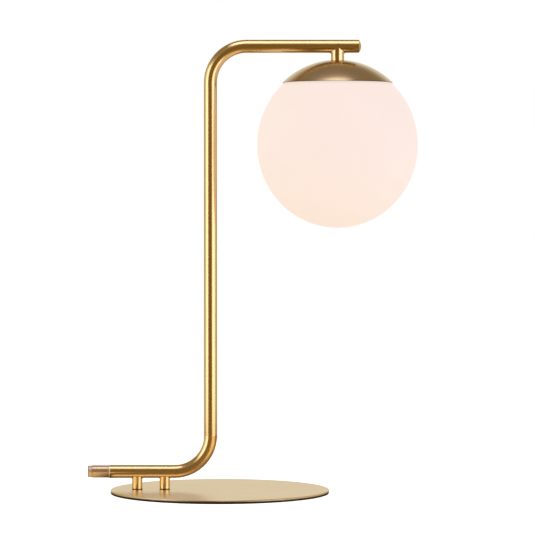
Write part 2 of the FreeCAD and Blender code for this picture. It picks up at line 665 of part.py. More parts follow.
def ellipse_edge(a, b, top):
    """The ellipse's arc from its lowest point round the side up to height top: a circle's, scaled in height."""
    height = (top - GLASS_CENTRE_Z) * a / b
    low = Vector(GLOBE_X, 0, -a)
    side = Vector(GLOBE_X + a, 0, 0)
    high = Vector(GLOBE_X + math.sqrt(a ** 2 - height ** 2), 0, height)
    to_size = FreeCAD.Matrix()
    to_size.scale(1, 1, b / a)
    to_size.move(Vector(0, 0, GLASS_CENTRE_Z))
    return Part.Arc(low, side, high).toShape().transformGeometry(to_size)


def glass_body(a, b, shoulder, neck_radius, top):
    """A solid globe with a flat shoulder and a straight neck."""
    corner = ellipse_point(a, b, shoulder)
    outline = [
        ellipse_edge(a, b, shoulder),
        line(corner, Vector(GLOBE_X + neck_radius, 0, shoulder)),
        line(Vector(GLOBE_X + neck_radius, 0, shoulder), Vector(GLOBE_X + neck_radius, 0, top)),
        line(Vector(GLOBE_X + neck_radius, 0, top), Vector(GLOBE_X, 0, top)),
        line(Vector(GLOBE_X, 0, top), Vector(GLOBE_X, 0, GLASS_CENTRE_Z - b)),
    ]
    return revolved(Part.__sortEdges__(outline), GLOBE_X)


def circle_edges(shape, radius, z):
    """The full circles of a given radius at a given height, about the globe's axis."""
    found = []
    for edge in shape.Edges:
        if edge.BoundBox.ZLength < 0.01 and abs(edge.BoundBox.ZMin - z) < 0.01:
            if abs(edge.BoundBox.XLength - 2 * radius) < 0.02:
                found.append(edge)
    return found


def glass_globe():
    outer = glass_body(GLASS_A, GLASS_B, SHOULDER_Z, GLASS_NECK_RADIUS, GLASS_TOP_Z)
    corner_radius = ellipse_point(GLASS_A, GLASS_B, SHOULDER_Z).x - GLOBE_X
    outer = outer.makeFillet(GLASS_CORNER_ROUND, circle_edges(outer, corner_radius, SHOULDER_Z))
    outer = outer.makeFillet(GLASS_NECK_FILLET, circle_edges(outer, GLASS_NECK_RADIUS, SHOULDER_Z))
    inner_shoulder = SHOULDER_Z - GLASS_WALL
    bore = GLASS_NECK_BORE / 2
    inner = glass_body(GLASS_A - GLASS_WALL, GLASS_B - GLASS_WALL, inner_shoulder, bore, GLASS_TOP_Z + 1)
    inner = inner.makeFillet(GLASS_INNER_ROUND, circle_edges(inner, bore, inner_shoulder))
    glass = outer.cut(inner)
    glass = glass.makeFillet(GLASS_LIP_ROUND, circle_edges(glass, GLASS_NECK_RADIUS, GLASS_TOP_Z))
    return glass.fuse(thread_ridge(GLASS_NECK_RADIUS, GLASS_RIDGE_LOW_Z, True)).removeSplitter()


def globe_gasket():
    low = GLASS_TOP_Z + GASKET_GAP
    return tube(GLASS_NECK_RADIUS, GLASS_NECK_BORE / 2, low, low + GASKET_THICKNESS, GLOBE_X)


# ---- Lampholder

def foot_screw_places():
    reach = BRACKET_SPAN / 2 - FOOT_SCREW_INSET
    return [GLOBE_X - reach, GLOBE_X + reach]


def lampholder_bracket():
    """A strip bent down on both sides, with feet turned in under it."""
    half = BRACKET_SPAN / 2
    inner = half - BRACKET_THICKNESS
    foot = half - FOOT_LENGTH
    foot_top = CERAMIC_TOP_Z + BRACKET_THICKNESS
    right = [
        (half, HOLDER_UNDER_Z),
        (half, CERAMIC_TOP_Z),
        (foot, CERAMIC_TOP_Z),
        (foot, foot_top),
        (inner, foot_top),
        (inner, WEB_UNDER_Z),
    ]
    left = [(-x, z) for x, z in reversed(right)]
    corners = [Vector(GLOBE_X + x, -BRACKET_WIDTH / 2, z) for x, z in right + left + right[:1]]
    strip = Part.Face(Part.Wire(polyline(corners))).extrude(Vector(0, BRACKET_WIDTH, 0))
    bends = [edge for edge in strip.Edges if edge.BoundBox.YLength > BRACKET_WIDTH - 0.01
             and edge.BoundBox.ZMin > HOLDER_UNDER_Z - 0.01 and edge.BoundBox.XLength < 0.01]
    strip = strip.makeFillet(BRACKET_BEND, bends)
    strip = strip.cut(cylinder(NIPPLE_HOLE_RADIUS, WEB_UNDER_Z - 1, HOLDER_UNDER_Z + 1, GLOBE_X))
    for x in foot_screw_places():
        hole = cylinder(FOOT_SCREW_DIAMETER / 2 + SCREW_CLEARANCE, CERAMIC_TOP_Z - 1, foot_top + 1, x)
        strip = strip.cut(hole)
    earth_hole = bar(FOOT_SCREW_DIAMETER / 2 + SCREW_FIT, LEG_INNER_X - 1, GLOBE_X + half + 1, EARTH_SCREW_Z)
    return strip.cut(earth_hole)


def pin_places():
    return [-PIN_SPACING / 2, PIN_SPACING / 2]


def lampholder_body():
    """A ceramic drum: the bulb's socket below, two contact chambers, and two lead holes above."""
    drum = cylinder(CERAMIC_DIAMETER / 2, CERAMIC_LOW_Z, CERAMIC_TOP_Z, GLOBE_X)
    rims = circle_edges(drum, CERAMIC_DIAMETER / 2, CERAMIC_LOW_Z)
    rims += circle_edges(drum, CERAMIC_DIAMETER / 2, CERAMIC_TOP_Z)
    drum = drum.makeChamfer(CERAMIC_CHAMFER, rims)
    socket = block(BULB_BASE_X + 2 * SOCKET_CLEARANCE, BULB_BASE_Y + 2 * SOCKET_CLEARANCE,
                   CERAMIC_LOW_Z - 1, SOCKET_ROOF_Z, GLOBE_X)
    drum = drum.cut(socket)
    for y in pin_places():
        chamber = block(CHAMBER_LENGTH_X, CHAMBER_LENGTH_Y, SOCKET_ROOF_Z - 1, CHAMBER_TOP_Z, GLOBE_X, y)
        lead_hole = cylinder(LEAD_HOLE_DIAMETER / 2, CHAMBER_TOP_Z - 1, CERAMIC_TOP_Z + 1, GLOBE_X, y)
        drum = drum.cut(chamber).cut(lead_hole)
    screw_low = CERAMIC_TOP_Z + BRACKET_THICKNESS - FOOT_SCREW_LENGTH - SCREW_HOLE_SPARE
    for x in foot_screw_places():
        drum = drum.cut(cylinder(FOOT_SCREW_DIAMETER / 2 + SCREW_FIT, screw_low, CERAMIC_TOP_Z + 1, x))
    return drum


def lampholder_screws():
    screws = []
    seat = CERAMIC_TOP_Z + BRACKET_THICKNESS
    for x in foot_screw_places():
        shank = cylinder(FOOT_SCREW_DIAMETER / 2, seat - FOOT_SCREW_LENGTH, seat, x)
        head = cylinder(SCREW_HEAD_DIAMETER / 2, seat, seat + SCREW_HEAD_HEIGHT, x)
        head = head.makeFillet(SCREW_HEAD_ROUND, circle_at_top(head))
        slot_low = seat + SCREW_HEAD_HEIGHT - SCREW_SLOT_DEPTH
        slot = slot_cut(2 * SCREW_HEAD_DIAMETER, SCREW_SLOT_DEPTH + 1, x, slot_low)
        screws.append(shank.fuse(head).removeSplitter().cut(slot))
    return Part.makeCompound(screws)


def circle_at_top(shape):
    top = shape.BoundBox.ZMax
    return [edge for edge in shape.Edges if edge.BoundBox.ZMin > top - 0.01]


def lampholder_contacts():
    """Two clips: a pair of leaves on each pin's loop, a web above them and a barrel for the lead."""
    clips = []
    leaf_reach = PIN_WIRE / 2 + LEAF_TO_PIN + LEAF_THICKNESS / 2
    web_width = 2 * leaf_reach + LEAF_THICKNESS
    barrel_radius = CONTACT_BARREL_DIAMETER / 2
    barrel_bore = CONTACT_BARREL_BORE / 2
    for y in pin_places():
        clip = block(LEAF_WIDTH, web_width, CONTACT_WEB_Z, BARREL_LOW_Z, GLOBE_X, y)
        for side in (-1, 1):
            leaf_y = y + side * leaf_reach
            leaf = block(LEAF_WIDTH, LEAF_THICKNESS, CONTACT_LOW_Z, CONTACT_WEB_Z, GLOBE_X, leaf_y)
            clip = clip.fuse(leaf)
        barrel = tube(barrel_radius, barrel_bore, BARREL_LOW_Z, BARREL_TOP_Z, GLOBE_X, y)
        clips.append(clip.fuse(barrel).removeSplitter())
    return Part.makeCompound(clips)


def earth_tag():
    """A flat tag on the inside of the bracket's leg, with a barrel turned towards the lead."""
    low = EARTH_LEAD_Z - TAG_BARREL_DIAMETER / 2
    plate_x = LEG_INNER_X - TAG_THICKNESS
    barrel_x = plate_x - TAG_BARREL_LENGTH
    bore_radius = LEAD_DIAMETER / 2 + TAG_BORE_FIT
    plate = block(TAG_THICKNESS, TAG_WIDTH, low, EARTH_SCREW_Z, plate_x + TAG_THICKNESS / 2)
    plate = plate.fuse(bar(TAG_WIDTH / 2, plate_x, LEG_INNER_X, EARTH_SCREW_Z))
    barrel = bar(TAG_BARREL_DIAMETER / 2, barrel_x, plate_x, EARTH_LEAD_Z)
    tag = plate.fuse(barrel).removeSplitter()
    lead_bore = bar(bore_radius, barrel_x - 1, plate_x, EARTH_LEAD_Z)
    screw_hole = bar(FOOT_SCREW_DIAMETER / 2 + SCREW_CLEARANCE, plate_x - 1, LEG_INNER_X + 1, EARTH_SCREW_Z)
    return tag.cut(lead_bore).cut(screw_hole)


def earth_screw():
    seat = LEG_INNER_X - TAG_THICKNESS
    shank = bar(FOOT_SCREW_DIAMETER / 2, seat, seat + EARTH_SCREW_LENGTH, EARTH_SCREW_Z)
    head = bar(SCREW_HEAD_DIAMETER / 2, seat - SCREW_HEAD_HEIGHT, seat, EARTH_SCREW_Z)
    screw = shank.fuse(head).removeSplitter()
    corner = Vector(seat - SCREW_HEAD_HEIGHT - 1, -DRIVE_SLOT / 2, EARTH_SCREW_Z - SCREW_HEAD_DIAMETER)
    slot = Part.makeBox(SCREW_SLOT_DEPTH + 1, DRIVE_SLOT, 2 * SCREW_HEAD_DIAMETER, corner)
    return screw.cut(slot)


# ---- Leads

def lead_start_x():
    """Where the insulation begins, behind the ferrules."""
    return FERRULE_X + FERRULE_LENGTH - FERRULE_OVERLAP + CONDUCTOR_LENGTH


def bared_end(y):
    tip = FERRULE_X + FERRULE_LENGTH - FERRULE_OVERLAP
    return bar(CONDUCTOR_DIAMETER / 2, tip, lead_start_x(), LOW_AXIS_Z, y)


def lead_along(points, radii):
    """Insulation along a route through the stem, with a bared tip in the ferrule."""
    y = points[0].y
    start = [
        Vector(lead_start_x(), y, LOW_AXIS_Z),
        Vector(STEM_X, y, LOW_AXIS_Z),
        Vector(STEM_X, y, HIGH_AXIS_Z),
        Vector(GLOBE_X, y, HIGH_AXIS_Z),
    ]
    bends = [BEND_RADIUS, BEND_RADIUS, NECK_TURN_RADIUS]
    route = rounded_route(start + points, bends + radii)
    insulation = swept_circle(route, LEAD_DIAMETER / 2, start[0], X_AXIS)
    return insulation.fuse(bared_end(y))


def supply_lead(side):
    """A live or neutral lead: it spreads below the nipple and goes down into its contact."""
    inner_y = side * LEAD_PITCH
    outer_y = side * PIN_SPACING / 2
    end_z = BARREL_TOP_Z + INSULATION_GAP
    points = [
        Vector(GLOBE_X, inner_y, NIPPLE_END_Z - SPREAD_START),
        Vector(GLOBE_X, outer_y, CERAMIC_TOP_Z + SPREAD_END),
        Vector(GLOBE_X, outer_y, end_z),
    ]
    lead = lead_along(points, [SPREAD_RADIUS, SPREAD_RADIUS])
    tip_z = BARREL_LOW_Z + CONDUCTOR_TIP_GAP
    return lead.fuse(cylinder(CONDUCTOR_DIAMETER / 2, tip_z, end_z, GLOBE_X, outer_y))


def earth_lead():
    end_x = LEG_INNER_X - TAG_THICKNESS - CONDUCTOR_TIP_GAP
    points = [
        Vector(GLOBE_X, 0, EARTH_LEAD_Z),
        Vector(end_x, 0, EARTH_LEAD_Z),
    ]
    return lead_along(points, [EARTH_TURN_RADIUS])


def crimp_ferrules():
    ferrules = []
    for step in (-1, 0, 1):
        y = step * LEAD_PITCH
        outer = bar(FERRULE_DIAMETER / 2, FERRULE_X, FERRULE_X + FERRULE_LENGTH, LOW_AXIS_Z, y)
        bore = bar(FERRULE_BORE / 2, FERRULE_X - 1, FERRULE_X + FERRULE_LENGTH + 1, LOW_AXIS_Z, y)
        ferrules.append(outer.cut(bore))
    return Part.makeCompound(ferrules)


# ---- Bulb

def bulb_base():
    """A block that fits the socket, on a round skirt that carries the cover."""
    neck = block(BULB_BASE_X, BULB_BASE_Y, BULB_BASE_LOW_Z, BULB_TOP_Z, GLOBE_X)
    corners = [edge for edge in neck.Edges if edge.BoundBox.ZLength > BULB_BASE_HEIGHT - 0.01]
    neck = neck.makeFillet(BULB_BASE_ROUND, corners)
    skirt = cylinder(BULB_DIAMETER / 2, BULB_RIM_Z, BULB_BASE_LOW_Z, GLOBE_X)
    skirt = skirt.makeFillet(BULB_SKIRT_ROUND, circle_at_top(skirt))
    spigot_radius = BULB_DIAMETER / 2 - BULB_COVER_WALL - BULB_FIT
    spigot = cylinder(spigot_radius, BULB_RIM_Z - BULB_SPIGOT, BULB_RIM_Z, GLOBE_X)
    base = neck.fuse(skirt).fuse(spigot).removeSplitter()
    slot_low = BULB_RIM_Z - BULB_SPIGOT
    slot_x = BOARD_THICKNESS + 2 * BULB_FIT
    slot_y = BOARD_WIDTH + 2 * BULB_FIT
    base = base.cut(block(slot_x, slot_y, slot_low - 1, slot_low + BOARD_SLOT, GLOBE_X))
    hole_low = BULB_TOP_Z - PIN_ROOT - BULB_FIT
    for y in pin_places():
        for side in (-1, 1):
            x = GLOBE_X + side * (PIN_LOOP_WIDTH - PIN_WIRE) / 2
            base = base.cut(cylinder(PIN_WIRE / 2 + BULB_FIT, hole_low, BULB_TOP_Z + 1, x, y))
    return base


def bulb_pins():
    """Two wire loops that stand out of the bulb's base."""
    loops = []
    half = (PIN_LOOP_WIDTH - PIN_WIRE) / 2
    low = BULB_TOP_Z - PIN_ROOT
    bend_z = BULB_TOP_Z + PIN_LENGTH - PIN_WIRE / 2 - half
    for y in pin_places():
        left = Vector(GLOBE_X - half, y, bend_z)
        right = Vector(GLOBE_X + half, y, bend_z)
        top = Vector(GLOBE_X, y, bend_z + half)
        start = Vector(GLOBE_X - half, y, low)
        end = Vector(GLOBE_X + half, y, low)
        route = Part.Wire([line(start, left), Part.Arc(left, top, right).toShape(), line(right, end)])
        loops.append(swept_circle(route, PIN_WIRE / 2, start, Z_AXIS))
    return Part.makeCompound(loops)


def capsule(radius, top, low):
    """A cylinder with a half-sphere below."""
    ball_z = low + radius
    return cylinder(radius, ball_z, top, GLOBE_X).fuse(Part.makeSphere(radius, Vector(GLOBE_X, 0, ball_z)))


def bulb_cover():
    low = BULB_RIM_Z - BULB_COVER_LENGTH
    outer = capsule(BULB_DIAMETER / 2, BULB_RIM_Z, low)
    inner = capsule(BULB_DIAMETER / 2 - BULB_COVER_WALL, BULB_RIM_Z + 1, low + BULB_COVER_WALL)
    return outer.cut(inner).removeSplitter()


def bulb_board():
    top = BULB_RIM_Z - BULB_SPIGOT + BOARD_SLOT - BULB_FIT
    return block(BOARD_THICKNESS, BOARD_WIDTH, top - BOARD_LENGTH, top, GLOBE_X)


def bulb_chips():
    chips = []
    first = BULB_RIM_Z - BULB_SPIGOT - CHIP_MARGIN + CHIP_SIZE / 2
    for side in (-1, 1):
        x = GLOBE_X + side * (BOARD_THICKNESS + CHIP_THICKNESS) / 2
        for column in (-1, 1):
            y = column * CHIP_PITCH_Y / 2
            for row in range(CHIP_ROWS):
                top = first - row * CHIP_PITCH_Z
                chips.append(block(CHIP_THICKNESS, CHIP_SIZE, top - CHIP_SIZE, top, x, y))
    return Part.makeCompound(chips)


# ---- The whole lamp, one file for each piece

PIECES = {
    "base_plate": base_plate(),
    "base_pad": base_pad(),
    "base_screws": base_screws(),
    "outer_post": post(OUTER_POST_X),
    "inner_post": post(INNER_POST_X),
    "stem_tube": stem_tube(),
    "arm_end_plug": arm_end_plug(),
    "joint_ring": joint_ring(),
    "cord_gland": cord_gland(),
    "gland_screw": gland_screw(),
    "neck_bush": neck_bush(),
    "globe_cap": globe_cap(),
    "hollow_nipple": hollow_nipple(),
    "toothed_washer": toothed_washer(),
    "cap_nut": cap_nut(),
    "holder_spacer": holder_spacer(),
    "glass_holder": glass_holder(),
    "holder_nut": holder_nut(),
    "glass_globe": glass_globe(),
    "globe_gasket": globe_gasket(),
    "lampholder_bracket": lampholder_bracket(),
    "lampholder_body": lampholder_body(),
    "lampholder_screws": lampholder_screws(),
    "lampholder_contacts": lampholder_contacts(),
    "earth_tag": earth_tag(),
    "earth_screw": earth_screw(),
    "live_lead": supply_lead(-1),
    "neutral_lead": supply_lead(1),
    "earth_lead": earth_lead(),
    "crimp_ferrules": crimp_ferrules(),
    "bulb_base": bulb_base(),
    "bulb_pins": bulb_pins(),
    "bulb_board": bulb_board(),
    "bulb_chips": bulb_chips(),
    "bulb_cover": bulb_cover(),
}

os.makedirs("parts", exist_ok=True)
for name, piece in PIECES.items():
    piece.exportStep("parts/" + name + ".step")
    print(name, "solids", len(piece.Solids), "valid", piece.isValid(), "volume", round(piece.Volume, 2))
print("thread: travel", THREAD_PITCH * THREAD_TURNS, "mm over", 360 * THREAD_TURNS, "degrees")
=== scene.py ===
"""Glass globe table lamp: finishes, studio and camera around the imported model. Lengths are in metres."""

import math

import bpy
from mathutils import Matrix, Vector


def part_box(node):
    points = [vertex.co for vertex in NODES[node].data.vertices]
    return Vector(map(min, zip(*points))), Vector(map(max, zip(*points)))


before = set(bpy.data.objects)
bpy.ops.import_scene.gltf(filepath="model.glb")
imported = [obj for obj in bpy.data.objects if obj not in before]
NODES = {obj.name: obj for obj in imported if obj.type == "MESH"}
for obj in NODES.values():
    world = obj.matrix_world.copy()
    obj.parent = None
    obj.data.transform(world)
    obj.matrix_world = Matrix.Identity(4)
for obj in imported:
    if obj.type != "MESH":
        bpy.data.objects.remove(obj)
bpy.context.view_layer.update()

# ---- The photograph's view

FRAME_PIXELS = 535
PIXEL_SIZE = 0.000914              # at the lamp's own depth
CAMERA_DISTANCE = 2.69             # in front of the lamp
CAMERA_HEIGHT = 0.273
VIEW_X = 0.0436                    # the place in the lamp's own plane that the camera looks at
VIEW_Z = 0.2064
SENSOR = 36.0                      # the camera's own unit, millimetres
CLIP_START = 0.05
CLIP_END = 60.0


def new_object(name, data):
    obj = bpy.data.objects.new(name, data)
    bpy.context.scene.collection.objects.link(obj)
    return obj


def aim(obj, target):
    """Turn a camera or light to face a point."""
    direction = Vector(target) - obj.location
    obj.rotation_euler = direction.to_track_quat("-Z", "Y").to_euler()


def make_camera():
    data = bpy.data.cameras.new("camera")
    data.sensor_width = SENSOR
    data.lens = SENSOR * CAMERA_DISTANCE / (FRAME_PIXELS * PIXEL_SIZE)
    data.clip_start = CLIP_START
    data.clip_end = CLIP_END
    camera = new_object("camera", data)
    camera.location = (VIEW_X, -CAMERA_DISTANCE, CAMERA_HEIGHT)
    aim(camera, (VIEW_X, 0.0, VIEW_Z))
    bpy.context.scene.camera = camera


# ---- Node helpers

NOISE_ROUGHNESS = 0.55
NOISE_LOW = 0.3                    # most of a noise's values lie between these two
NOISE_HIGH = 0.7


def rgba(colour):
    return (*colour, 1.0)


def scaled(colour, share):
    return tuple(min(1.0, value * share) for value in colour)


class Tree:
    """The node tree of a material or world, with short calls that add and join nodes."""

    def __init__(self, owner):
        owner.use_nodes = True
        self.tree = owner.node_tree
        self.tree.nodes.clear()

    def add(self, kind, **values):
        node = self.tree.nodes.new(kind)
        for key, value in values.items():
            setattr(node, key, value)
        return node

    def give(self, value, socket):
        """Give an input socket another node's output, or a plain value."""
        if isinstance(value, bpy.types.NodeSocket):
            self.tree.links.new(value, socket)
        else:
            socket.default_value = value

    def calculate(self, operation, first, second=0.0):
        node = self.add("ShaderNodeMath", operation=operation)
        self.give(first, node.inputs[0])
        self.give(second, node.inputs[1])
        return node.outputs["Value"]

    def axes(self, vector):
        """A vector's own X, Y and Z."""
        node = self.add("ShaderNodeSeparateXYZ")
        self.give(vector, node.inputs["Vector"])
        return node.outputs["X"], node.outputs["Y"], node.outputs["Z"]

    def map_range(self, value, before, after=(0.0, 1.0), **values):
        """A value carried from one range to another, and held at its ends."""
        node = self.add("ShaderNodeMapRange", **values)
        self.give(value, node.inputs["Value"])
        self.give(before[0], node.inputs["From Min"])
        self.give(before[1], node.inputs["From Max"])
        self.give(after[0], node.inputs["To Min"])
        self.give(after[1], node.inputs["To Max"])
        return node.outputs["Result"]

    def ramp(self, value, stops):
        """A colour ramp over a 0 to 1 value. Stops are (place, colour)."""
        node = self.add("ShaderNodeValToRGB")
        elements = node.color_ramp.elements
        while len(elements) < len(stops):
            elements.new(0.5)
        for element, (place, colour) in zip(elements, stops):
            element.position = place
            element.color = rgba(colour)
        self.give(value, node.inputs["Fac"])
        return node.outputs["Color"]

    def mix(self, factor, first, second, blend_type="MIX"):
        """Two colours mixed, or multiplied."""
        node = self.add("ShaderNodeMix", data_type="RGBA", blend_type=blend_type)
        self.give(factor, node.inputs["Factor"])
        self.give(first, node.inputs["A"])
        self.give(second, node.inputs["B"])
        return node.outputs["Result"]

    def ray(self, kind):
        """1 for the named kind of ray, and 0 for any other."""
        return self.add("ShaderNodeLightPath").outputs[kind]

    def for_ray(self, kind, chosen, others):
        """One shader for a kind of ray, and another for any other kind."""
        node = self.add("ShaderNodeMixShader")
        self.give(self.ray(kind), node.inputs["Fac"])
        self.give(others.outputs[0], node.inputs[1])
        self.give(chosen.outputs[0], node.inputs[2])
        return node.outputs["Shader"]


class Finish(Tree):
    """A material round one Principled shader."""

    def __init__(self, name):
        self.material = bpy.data.materials.new(name)
        super().__init__(self.material)
        self.shader = self.add("ShaderNodeBsdfPrincipled")
        self.output = self.add("ShaderNodeOutputMaterial")
        self.give(self.shader.outputs["BSDF"], self.output.inputs["Surface"])
        self.place = self.add("ShaderNodeTexCoord").outputs["Object"]

    def set_shader(self, **values):
        """Values for the shader's sockets, with _ for each space in their names."""
        for key, value in values.items():
            self.shader.inputs[key.replace("_", " ")].default_value = value

    def feed(self, value, socket):
        self.give(value, self.shader.inputs[socket])

    def noise(self, scale, detail):
        """Noise of a given scale per metre."""
        node = self.add("ShaderNodeTexNoise")
        self.give(self.place, node.inputs["Vector"])
        self.give(scale, node.inputs["Scale"])
        self.give(detail, node.inputs["Detail"])
        self.give(NOISE_ROUGHNESS, node.inputs["Roughness"])
        return node.outputs["Fac"]

    def mottle(self, dark, light, scale, detail):
        """Soft spots between two colours."""
        return self.ramp(self.noise(scale, detail), [(NOISE_LOW, dark), (NOISE_HIGH, light)])

    def along_x(self, start, end):
        """0 to 1 between two places along X."""
        return self.map_range(self.axes(self.place)[0], (start, end))

    def along_z(self, start, end):
        """0 to 1 between two heights."""
        return self.map_range(self.axes(self.place)[2], (start, end))

    def bump(self, height, strength, distance):
        node = self.add("ShaderNodeBump")
        self.give(strength, node.inputs["Strength"])
        self.give(distance, node.inputs["Distance"])
        self.give(height, node.inputs["Height"])
        self.feed(node.outputs["Normal"], "Normal")


# ---- Finishes

METAL_CLOUD = 45.0                 # scale of a metal's changes of colour, and how far they go as a share
METAL_VARIATION = 0.025
METAL_SMEAR = 260.0                # scale of its changes of roughness, and how far they go
METAL_SPREAD = 0.008
METAL_GRAIN = 5000.0               # scale of its grain, unless a finish has its own
METAL_BUMP = 0.02
METAL_DEPTH = 0.000001

PLAIN_VARIATION = 0.07             # changes of colour, as a share
PLAIN_SPREAD = 0.1                 # changes of roughness, as a share
SMEAR_FINER = 2.3                  # how much finer the changes of roughness are than those of colour
BUMP_FINER = 6.0                   # and the bumps

BASE_TOP = 0.0032                  # the height that the posts stand at
SHADOW_LINE = (0.10, 0.05, 0.01)   # the dark line low on a piece, where it meets the next one
POST_SHADOW = (0.0005, 0.0013)     # the heights over a post's foot where its line starts to fade, and ends
CAP_SHADOW = (-0.0008, 0.0012)     # and over the cap's rim

GOLD = (0.69, 0.485, 0.24)
GOLD_TINT = (0.92, 0.80, 0.58)
STEEL = (0.62, 0.63, 0.64)
WHITE = (1.0, 1.0, 1.0)


def satin_metal(name, colour, tint, roughness, grain=METAL_GRAIN, shadow=None):
    """A sprayed or plated satin metal. A shadow is the two heights between which a dark line on it fades."""
    nodes = Finish(name)
    nodes.set_shader(Metallic=1.0, Specular_Tint=rgba(tint))
    dark, light = scaled(colour, 1 - METAL_VARIATION), scaled(colour, 1 + METAL_VARIATION)
    base = nodes.mottle(dark, light, scale=METAL_CLOUD, detail=4.0)
    if shadow:
        base = nodes.mix(nodes.along_z(*shadow), rgba(SHADOW_LINE), base)
    nodes.feed(base, "Base Color")
    smear = (roughness - METAL_SPREAD, roughness + METAL_SPREAD)
    nodes.feed(nodes.map_range(nodes.noise(METAL_SMEAR, detail=3.0), (0.0, 1.0), smear), "Roughness")
    nodes.bump(nodes.noise(grain, detail=2.0), METAL_BUMP, METAL_DEPTH)
    return nodes.material


def plain_surface(name, colour, roughness, scale=300.0, bump=0.1, depth=0.00002, **values):
    """A non-metal surface with a fine grain."""
    nodes = Finish(name)
    nodes.set_shader(**values)
    dark, light = scaled(colour, 1 - PLAIN_VARIATION), scaled(colour, 1 + PLAIN_VARIATION)
    nodes.feed(nodes.mottle(dark, light, scale, detail=4.0), "Base Color")
    smear = (roughness * (1 - PLAIN_SPREAD), roughness * (1 + PLAIN_SPREAD))
    nodes.feed(nodes.map_range(nodes.noise(scale * SMEAR_FINER, detail=2.0), (0.0, 1.0), smear), "Roughness")
    nodes.bump(nodes.noise(scale * BUMP_FINER, detail=2.0), bump, depth)
    return nodes.material


def opal_glass():
    """Lit opal glass: a soft even glow, a little warmer towards the bottom and cooler to the right."""
    nodes = Finish("opal_glass")
    low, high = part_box("glass_globe")
    upwards = nodes.ramp(nodes.along_z(low.z, high.z), [
        (0.05, (0.830, 0.672, 0.565)),
        (0.45, (0.810, 0.665, 0.603)),
        (0.95, (0.790, 0.655, 0.600)),
    ])
    rightwards = nodes.ramp(nodes.along_x(low.x, high.x), [
        (0.15, (1.0, 1.0, 0.985)),
        (0.55, (0.995, 0.99, 1.0)),
        (0.98, (0.955, 0.965, 1.0)),
    ])
    nodes.feed(nodes.mix(1.0, upwards, rightwards, "MULTIPLY"), "Emission Color")
    body = nodes.mottle((0.205, 0.190, 0.180), (0.220, 0.205, 0.192), scale=30.0, detail=3.0)
    nodes.feed(body, "Base Color")
    nodes.set_shader(Roughness=0.75, Specular_IOR_Level=0.2, Emission_Strength=0.98)
    nodes.bump(nodes.noise(scale=900.0, detail=2.0), strength=0.05, distance=0.00001)
    return nodes.material


GLAND_BANDED = 0.010               # the length at the end piece's left end that its bands divide
# Two of these bands are painted shade: the dark one at the very end, and the dark one at the flange's step.
GLAND_BANDS_AND_SHADE = [
    (0.05, (0.34, 0.27, 0.20)),
    (0.12, (0.68, 0.56, 0.42)),
    (0.38, (0.66, 0.52, 0.38)),
    (0.42, (0.40, 0.29, 0.19)),
    (0.50, (0.60, 0.45, 0.31)),
    (1.00, (0.58, 0.43, 0.30)),
]
GLAND_ROUGHNESS = [(0.38, scaled(WHITE, 0.50)), (0.44, scaled(WHITE, 0.30))]
GLAND_GRAIN = 600.0


def rose_gland():
    """The pinker end piece, with a duller flange at its end, and painted shade at its very end and at the
    flange's step.
    """
    nodes = Finish("rose_gland")
    low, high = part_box("cord_gland")
    nodes.set_shader(Metallic=0.85)
    bands = nodes.ramp(nodes.along_x(low.x, low.x + GLAND_BANDED), GLAND_BANDS_AND_SHADE)
    grain = nodes.mottle(scaled(WHITE, 0.94), WHITE, GLAND_GRAIN, detail=3.0)
    nodes.feed(nodes.mix(1.0, bands, grain, "MULTIPLY"), "Base Color")
    nodes.feed(nodes.ramp(nodes.along_x(low.x, low.x + GLAND_BANDED), GLAND_ROUGHNESS), "Roughness")
    nodes.bump(nodes.noise(GLAND_GRAIN * BUMP_FINER, detail=2.0), strength=0.02, distance=0.000002)
    return nodes.material


def lifted(heights, start):
    return [start + height for height in heights]


CAP_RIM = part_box("globe_cap")[0].z
METALS = {
    "gold_tube": dict(colour=GOLD, tint=GOLD_TINT, roughness=0.21),
    "gold_bush": dict(colour=(0.66, 0.45, 0.24), tint=GOLD_TINT, roughness=0.18),
    "bright_ring": dict(colour=(0.90, 0.76, 0.58), tint=(1.0, 0.94, 0.84), roughness=0.34),
    "gold_post": dict(colour=(0.84, 0.66, 0.38), tint=(0.95, 0.87, 0.68), roughness=0.17,
                      shadow=lifted(POST_SHADOW, BASE_TOP)),
    "gold_cap": dict(colour=(0.60, 0.46, 0.27), tint=(0.92, 0.87, 0.76), roughness=0.23,
                     shadow=lifted(CAP_SHADOW, CAP_RIM)),
    "gold_base": dict(colour=(0.75, 0.60, 0.37), tint=(0.97, 0.90, 0.78), roughness=0.34),
    "zinc": dict(colour=STEEL, tint=WHITE, roughness=0.35, grain=1800.0),
    "brass": dict(colour=(0.72, 0.50, 0.20), tint=(1.0, 0.95, 0.8), roughness=0.3),
}
PLAIN = {
    "pad": dict(colour=(0.012, 0.011, 0.010), roughness=0.85, scale=900.0, bump=0.4, depth=0.0002),
    "nylon": dict(colour=(0.66, 0.58, 0.44), roughness=0.45),
    "silicone": dict(colour=(0.62, 0.61, 0.58), roughness=0.6),
    "ceramic": dict(colour=(0.74, 0.72, 0.67), roughness=0.55, scale=500.0, bump=0.2),
    "brown_lead": dict(colour=(0.10, 0.035, 0.014), roughness=0.45),
    "blue_lead": dict(colour=(0.012, 0.05, 0.25), roughness=0.45),
    "green_lead": dict(colour=(0.20, 0.34, 0.03), roughness=0.45),
    "bulb_white": dict(colour=(0.80, 0.79, 0.76), roughness=0.3),
    "board": dict(colour=(0.66, 0.68, 0.66), roughness=0.4, scale=700.0),
    "phosphor": dict(colour=(0.75, 0.50, 0.06), roughness=0.5, scale=900.0),
    "diffuser": dict(colour=(0.85, 0.82, 0.76), roughness=0.35,
                     Emission_Color=(1.0, 0.86, 0.66, 1.0), Emission_Strength=1.2),
}
